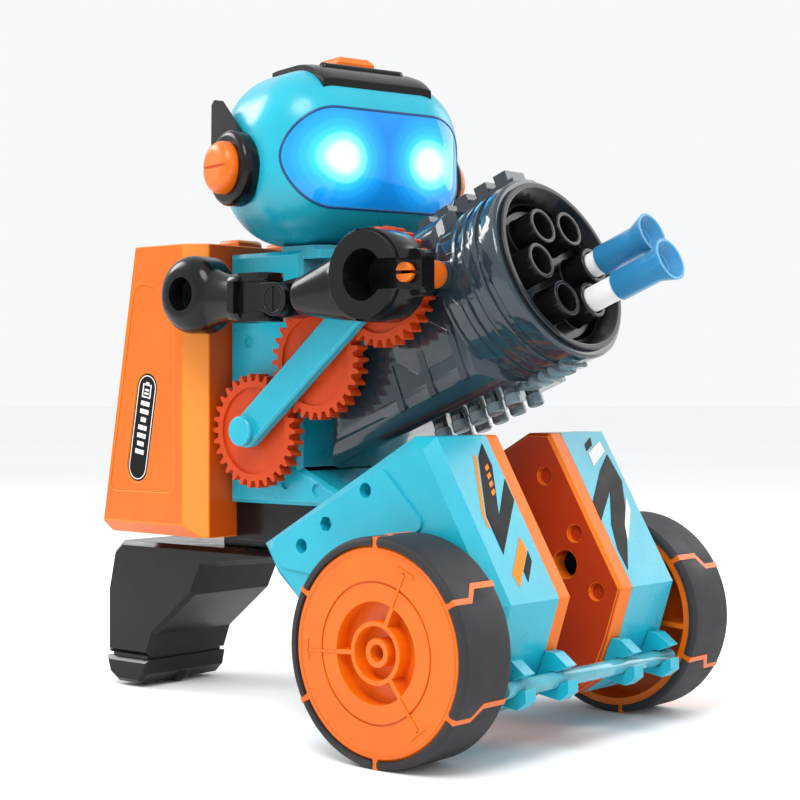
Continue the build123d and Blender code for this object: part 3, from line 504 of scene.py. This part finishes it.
# ---- Leg stickers ----------------------------------------------------------------------
# Outlines in millimetres on the leg's sloping front: (from the outer edge, from the lower edge).
NEAR_BOLT = [(24, 63), (24, 53.5), (15, 33.5), (28, 48), (28, 39.5), (8, 19), (8, 34), (18.5, 57.5)]
NEAR_SIDE = [(17.3, 57.5), (7.2, 34), (7.2, 29), (6, 30), (6, 35), (16, 58.5)]
NEAR_LOW_ORANGE = [(21.5, 25), (22.3, 19.7), (9, 6), (8, 11.2)]
NEAR_LOW_BLACK = [(22.6, 19.2), (22.1, 15.1), (15, 7.6), (15.1, 11.8)]
FAR_BOLT = [(4, 56), (2.5, 44), (11, 28.5), (26.5, 7), (27, 15.7),
            (23.5, 26), (13.5, 40.5), (29, 28), (28.5, 36.3), (14, 49.2)]
FAR_WHITE = [(5, 62), (4.6, 57.5), (17, 51.2), (16.5, 57)]
FAR_TOP = [(10, 64), (11.5, 60.2), (17, 57.8), (16, 61)]
FAR_LOW_WHITE = [(5, 37), (6.5, 31), (18, 18.3), (15, 25)]
BAR = [(0, 0), (2.4, 1.3), (2.4, 3.0), (0, 1.7)]
INK_BLACK, INK_WHITE, INK_ORANGE = 0, 1, 2
OVERPRINT = 0.00010                   # how far a shape stands proud of one that it crosses


def leg_stickers():
    """Thin printed stickers on the front of each leg, with generic shapes only."""
    for side, sign in SIDES:
        place, half_u, half_v = facet(f"leg_shell_{side}", LEG_FRONT)
        outer = -half_u if sign < 0 else half_u
        made = bmesh.new()

        def stick(outline, material, lift=0.0):
            points = [(outer - sign * u * MM, v * MM - half_v) for u, v in outline]
            points = [(u, min(v, half_v - 0.001)) for u, v in points]
            slab(made, points, place, -0.00005, 0.00018 + lift, material)

        if sign < 0:
            stick(NEAR_BOLT, INK_BLACK)
            stick(NEAR_SIDE, INK_ORANGE)
            stick(NEAR_LOW_ORANGE, INK_ORANGE)
            stick(NEAR_LOW_BLACK, INK_BLACK)
            for step in range(4):
                bar = [(u + 19.2 - 0.9 * step, v + 51.5 - 3.3 * step) for u, v in BAR]
                stick(bar, INK_ORANGE, OVERPRINT)
        else:
            stick(FAR_BOLT, INK_BLACK)
            stick(FAR_WHITE, INK_WHITE)
            stick(FAR_TOP, INK_BLACK)
            stick(FAR_LOW_WHITE, INK_WHITE, OVERPRINT)
        piece_from(made, f"leg_sticker_{side}", "chassis", ("ink_black", "ink_white", "ink_orange"),
                   smooth=False)


# ---- Battery labels --------------------------------------------------------------------
def capsule(x0, z0, x1, z1, radius, steps=14):
    """Outline of a capsule between two points."""
    along = math.atan2(z1 - z0, x1 - x0)
    points = []
    for (x, z), start in (((x1, z1), along - math.pi / 2), ((x0, z0), along + math.pi / 2)):
        for k in range(steps + 1):
            a = start + math.pi * k / steps
            points.append((x + radius * math.cos(a), z + radius * math.sin(a)))
    return points


LABEL_Y, LABEL_Z, LABEL_SINK = 0.08914, 0.1145, 0.0008
LABEL_ENDS = ((-0.0030, -0.0165), (0.0030, 0.0165))    # centres of the capsule's round ends
# Millimetres across and along the label from its upper end: walls, tip and two cells of the symbol.
SYMBOL = ((-2.6, 2.6, -1.2, -0.6), (-2.6, 2.6, 4.0, 4.6), (-2.6, -2.0, -0.6, 4.0), (2.0, 2.6, -0.6, 4.0),
          (-1.0, 1.0, 4.6, 5.4), (-1.3, 1.3, 0.2, 1.0), (-1.3, 1.3, 1.7, 2.5))
SYMBOL_DROP = 3.0
BAR_HALF_WIDTHS = (2.6, 2.6, 1.6, 2.6, 2.6, 2.0, 2.6)
BAR_START, BAR_STEP, BAR_HEIGHT = -7.6, -3.4, 1.9


def battery_labels():
    """A black capsule label in each door's recess, with an outline, a cell symbol and plain bars."""
    for side, sign in SIDES:
        low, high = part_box(f"battery_door_{side}")
        x = (low.x if sign < 0 else high.x) - sign * LABEL_SINK
        place = towards((x, LABEL_Y, LABEL_Z), (sign, 0, 0))
        bottom, top = (Vector((-sign * u, v)) for u, v in LABEL_ENDS)
        along = (top - bottom).normalized()
        across = Vector((-along.y, along.x))
        made = bmesh.new()
        slab(made, capsule(*bottom, *top, 0.0060), place, -0.0001, 0.00025, rim=0.0001)

        def ink(outline):
            slab(made, outline, place, 0.0002, 0.00034, 1)

        def ink_box(u0, u1, v0, v1):
            corners = ((u0, v0), (u1, v0), (u1, v1), (u0, v1))
            ink([tuple(top + along * v * MM + across * u * MM) for u, v in corners])

        outer, inner = capsule(*bottom, *top, 0.0053), capsule(*bottom, *top, 0.0049)
        for i in range(len(outer)):
            j = (i + 1) % len(outer)
            ink([outer[i], outer[j], inner[j], inner[i]])
        for u0, u1, v0, v1 in SYMBOL:
            ink_box(u0, u1, v0 - SYMBOL_DROP, v1 - SYMBOL_DROP)
        for step, half in enumerate(BAR_HALF_WIDTHS):
            start = BAR_START + BAR_STEP * step
            ink_box(-half, half, start, start + BAR_HEIGHT)
        piece_from(made, f"battery_label_{side}", "chassis", ("ink_black", "ink_white"),
                   smooth=False)


# ---- Cannon ----------------------------------------------------------------------------
# Millimetres in the cannon's own frame: across, back from the muzzle, and up from the barrel axis.
BARREL_RADIUS = 35.0
BARREL_STEPS = ((20.2, 22.0, 0.7), (23.6, 24.2, 0.35), (29.2, 30.6, 0.5))    # front, rear, rise
PANEL_LINE = [(18.4, 24), (25.0, 24), (28.6, 36), (33.0, 36)]                # back, angle in degrees
CHEEK = 27.5
CHEEK_PANEL = [(38, 6), (58, 6), (66, 14), (66, 24), (46, 24), (38, 16)]
KNOB_TOP, KNOB_LENGTH, KNOB_RADIUS = -37.4, 4.4, 2.84
KNOB_ROWS = [(x, 34 + 9 * step) for step in range(5) for x in (-7, 7)]


def cannon_place():
    """The cannon's frame: local X across, Y back along the barrel, Z up."""
    spin = JOINTS["barrel_spin"]
    back = -Vector(spin["axis"]).normalized()
    across = Vector((1, 0, 0))
    turn = Matrix((across, back, across.cross(back))).transposed().to_4x4()
    return Matrix.Translation(Vector(spin["pos_m"])) @ turn


def cannon_details():
    """Stepped rings and panel lines on the barrel, and clear ribs and knob sleeves under it."""
    place = cannon_place()
    along = place @ Matrix.Rotation(math.radians(-90), 4, "X")
    made = bmesh.new()
    for low, high, rise in BARREL_STEPS:
        inner, outer = (BARREL_RADIUS - 0.4) * MM, (BARREL_RADIUS + rise) * MM
        profile = [(inner, low * MM), (outer, (low + 0.4) * MM), (outer, (high - 0.2) * MM), (inner, high * MM)]
        lathe(made, profile, along, steps=96)
    for sign in (-1, 1):
        for shift in (0.0, 34.0):
            points = []
            for y, angle in PANEL_LINE:
                angle = math.radians(angle - shift)
                radius = (BARREL_RADIUS + 0.05) * MM
                points.append(place @ Vector((sign * radius * math.cos(angle), y * MM, radius * math.sin(angle))))
            tube(made, points, 0.32 * MM, sides=8)
        side = place @ Matrix(((0, 0, sign, 0), (1, 0, 0, 0), (0, 1, 0, 0), (0, 0, 0, 1)))
        for drop in (0.0, 26.0):
            outline = [(y * MM, (z - drop) * MM) for y, z in CHEEK_PANEL]
            slab(made, outline, side, (CHEEK - 0.1) * MM, (CHEEK + 0.35) * MM, rim=0.0006)
    piece_from(made, "cannon_steps", "cannon", "smoky", smooth=False)

    made = bmesh.new()
    under = place @ Matrix.Rotation(math.pi, 4, "Y")
    for step in range(5):
        front = 7.0 + 5.2 * step
        width = 7.5 - 0.4 * step
        outline = [(-width, front), (width, front + 0.8), (width - 1.0, front + 3.8), (1 - width, front + 3.2)]
        slab(made, [(x * MM, y * MM) for x, y in outline],
             under, 0.0338, 0.0372 + 0.0003 * (step % 2), rim=0.0009)
    for x, y in KNOB_ROWS:
        top = place @ Matrix.Translation(Vector((x, y, KNOB_TOP)) * MM) @ Matrix.Rotation(math.pi, 4, "X")
        inner, outer, length = KNOB_RADIUS * MM, (KNOB_RADIUS + 0.45) * MM, KNOB_LENGTH * MM
        lathe(made, [(inner, 0.0), (outer, 0.0003), (outer, length - 0.0005), (inner, length)], top, steps=24)
    piece_from(made, "clear_ribs", "cannon", "knob", smooth=False)


# ---- Head ------------------------------------------------------------------------------
def head_frame():
    """The head's own directions: across to its left, and forward."""
    right, left = eye_centres()
    across = (left - right).normalized()
    return across, across.cross(Vector((0, 0, 1))).normalized()


def stadium(half_u, half_v, steps=28):
    """A closed outline with round ends, as (u, v)."""
    points = []
    for end in (1, -1):
        for k in range(steps + 1):
            a = math.pi * (k / steps - 0.5)
            points.append((end * (half_u - half_v + half_v * math.cos(a)), end * half_v * math.sin(a)))
    return points


def dense(points, spacing):
    """The same closed outline with points no further apart than the spacing."""
    result = []
    for (u0, v0), (u1, v1) in zip(points, points[1:] + points[:1]):
        count = max(1, math.ceil(math.hypot(u1 - u0, v1 - v0) / spacing))
        result.extend((u0 + (u1 - u0) * k / count, v0 + (v1 - v0) * k / count) for k in range(count))
    return result


def on_head(tree, middle, across, forward, u, v):
    """The point of the head's skin at (u, v) as seen from its front, and the way it faces."""
    start = middle + across * u + Vector((0, 0, v)) + forward * 0.2
    hit, normal, _, _ = tree.ray_cast(start, -forward)
    return hit, normal


def visor_seal():
    """The dark seal that outlines the visor, laid on the head's skin just outside it."""
    across, forward = head_frame()
    mesh = frame["nodes"]["visor"].data
    axis = Vector(JOINTS["head_turn"]["pos_m"])
    low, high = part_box("visor")
    middle = Vector((axis.x, axis.y, (low.z + high.z) / 2))
    half_u = max(abs((vertex.co - middle).dot(across)) for vertex in mesh.vertices) + 0.0006
    half_v = (high.z - low.z) / 2 + 0.0006
    skin = bmesh.new()
    skin.from_mesh(frame["nodes"]["head_shell_front"].data)
    tree = BVHTree.FromBMesh(skin)
    points = []
    for u, v in dense(stadium(half_u, half_v), 0.0012):
        hit, normal = on_head(tree, middle, across, forward, u, v)
        if hit:
            points.append(hit - normal * 0.00025)
    skin.free()
    points = [a for a, b in zip(points, points[1:] + points[:1]) if (a - b).length > 2e-5]
    made = bmesh.new()
    tube(made, points, 0.65 * MM, closed=True)
    piece_from(made, "visor_seal", "head", "gasket")


def band_ridge():
    """The raised ridge across the top band, in front of the button, and two shorter ones behind it."""
    across, forward = head_frame()
    low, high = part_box("head_button")
    middle = (low + high) / 2
    skin = bmesh.new()
    skin.from_mesh(frame["nodes"]["head_band"].data)
    tree = BVHTree.FromBMesh(skin)
    made = bmesh.new()
    for ahead, half, radius in ((12.5, 19.0, 2.1), (-12.0, 9.0, 1.2), (-15.5, 9.0, 1.2)):
        points = []
        for k in range(25):
            u = half * (k / 12 - 1)
            start = Vector((middle.x, middle.y, high.z + 0.02)) + (across * u + forward * ahead) * MM
            hit, normal, _, _ = tree.ray_cast(start, Vector((0, 0, -1)))
            if hit:
                points.append(hit - normal * radius * 0.35 * MM)
        if len(points) > 2:
            tube(made, points, radius * MM, sides=14)
    skin.free()
    piece_from(made, "band_ridges", "head", "black")


# ---- Back of the pack ------------------------------------------------------------------
# Millimetres: radius and height of the boss and the screw's head, and the bars of its cross.
SCREW_BOSS = [(2.6, 0.0), (4.2, 0.0), (4.2, 0.55), (3.9, 0.75), (2.9, 0.75), (2.6, 0.55)]
SCREW_HEAD = [(2.4, 0.0), (2.4, 0.5), (2.0, 0.8), (0.5, 0.8)]
CROSS_BAR = [(-1.3, -0.3), (1.3, -0.3), (1.3, 0.3), (-1.3, 0.3)]
SINK = 0.1


def screw(made, place, material):
    """A cross-head screw in a round boss, standing on a face."""
    for profile, index in ((SCREW_BOSS, 0), (SCREW_HEAD, material)):
        lathe(made, [(r * MM, (h - SINK) * MM) for r, h in profile], place, steps=32, material=index)
    for turn in (0, 90):
        turned = place @ Matrix.Rotation(math.radians(turn + 20), 4, "Z")
        slab(made, [(u * MM, v * MM) for u, v in CROSS_BAR], turned, 0.3 * MM, 0.55 * MM, material)


SWITCH_OUTER, SWITCH_INNER = (0.0084, 0.0064), (0.0060, 0.0040)    # half sizes of the frame round the switch


def pack_back():
    """Raised ribs, screws and a frame round the power switch on the rear of the backpack."""
    place, half_u, half_v = facet("backpack_shell", PACK_REAR)
    switch_low, switch_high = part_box("power_switch")
    switch = place.inverted() @ ((switch_low + switch_high) / 2)
    made = bmesh.new()
    for sign_u in (-1, 1):
        for v in (-half_v + 0.012, half_v - 0.012):
            screw(made, place @ Matrix.Translation((sign_u * (half_u - 0.010), v, 0)), 1)
        inner, outer, end = sign_u * (half_u - 0.020), sign_u * (half_u - 0.017), half_v - 0.018
        slab(made, [(inner, -end), (outer, -end), (outer, end), (inner, end)], place, -0.0001, 0.0007, rim=0.0004)
    for step in range(5):
        v = half_v - 0.024 - 0.006 * step
        slab(made, [(-0.016, v), (0.016, v), (0.016, v + 0.0022), (-0.016, v + 0.0022)],
             place, -0.0001, 0.0007, rim=0.0004)
    corners = ((-1, -1), (1, -1), (1, 1), (-1, 1))
    for a, b in zip(corners, corners[1:] + corners[:1]):
        bar = [(x * u, y * v) for (x, y), (u, v) in
               ((a, SWITCH_OUTER), (b, SWITCH_OUTER), (b, SWITCH_INNER), (a, SWITCH_INNER))]
        slab(made, [(x, switch.y + y) for x, y in bar], place, -0.0001, 0.0008)
    piece_from(made, "pack_back_details", "chassis", ("orange", "steel"), smooth=False)


def build_details():
    """Every piece that the CAD frame doesn't have."""
    wheel_marks()
    leg_stickers()
    battery_labels()
    visor_seal()
    cannon_details()
    band_ridge()
    pack_back()


# ---- Studio ----------------------------------------------------------------------------
def area_light(name, where, aim, size, power):
    """A round white light at a place, turned to an aim."""
    light = bpy.data.lights.new(name, "AREA")
    light.shape, light.size, light.energy = "DISK", size, power
    lit = bpy.data.objects.new(name, light)
    lit.matrix_world = towards(where, Vector(where) - Vector(aim))
    bpy.context.scene.collection.objects.link(lit)


def studio():
    """A pale floor, an even pale sky, three soft lights and the camera."""
    made = bmesh.new()
    bmesh.ops.create_circle(made, cap_ends=True, segments=96, radius=14.0)
    mesh = bpy.data.meshes.new("floor")
    made.to_mesh(mesh)
    made.free()
    floor = bpy.data.objects.new("floor", mesh)
    bpy.context.scene.collection.objects.link(floor)
    material, shader, add, link = new_material("floor_paper")
    where = add("ShaderNodeTexCoord").outputs["Object"]
    tone = spread(add, noise(add, where, 2.0, 3.0), 0.3, 0.7, 0.0, 1.0)
    link.new(mix(add, tone, (0.95, 0.955, 0.96, 1), (0.97, 0.975, 0.98, 1)), shader.inputs["Base Color"])
    shader.inputs["Roughness"].default_value = 1.0
    shader.inputs["Specular IOR Level"].default_value = 0.0
    floor.data.materials.append(material)

    world = bpy.data.worlds.new("pale_sky")
    world.use_nodes = True
    world.node_tree.nodes["Background"].inputs["Color"].default_value = (0.985, 0.99, 1.0, 1)
    world.node_tree.nodes["Background"].inputs["Strength"].default_value = 0.95
    bpy.context.scene.world = world
    bpy.context.scene.view_settings.view_transform = "Standard"

    aim = (0.0, 0.0, 0.13)
    area_light("key", (-0.75, -0.35, 1.05), aim, 0.60, 9.0)
    area_light("fill", (0.95, -0.30, 0.55), aim, 0.8, 4.0)
    area_light("rim", (-0.25, 0.95, 0.75), aim, 0.5, 6.0)

    data = bpy.data.cameras.new("camera")
    data.lens, data.sensor_width = 80.0, 36.0
    camera = bpy.data.objects.new("camera", data)
    camera.location = (-0.5438, -0.4735, 0.130)
    camera.rotation_euler = (math.radians(90.0), 0.0, math.radians(-50.0))
    data.shift_x, data.shift_y = -0.008, -0.012
    bpy.context.scene.collection.objects.link(camera)
    bpy.context.scene.camera = camera


dress_nodes()
build_details()
studio()
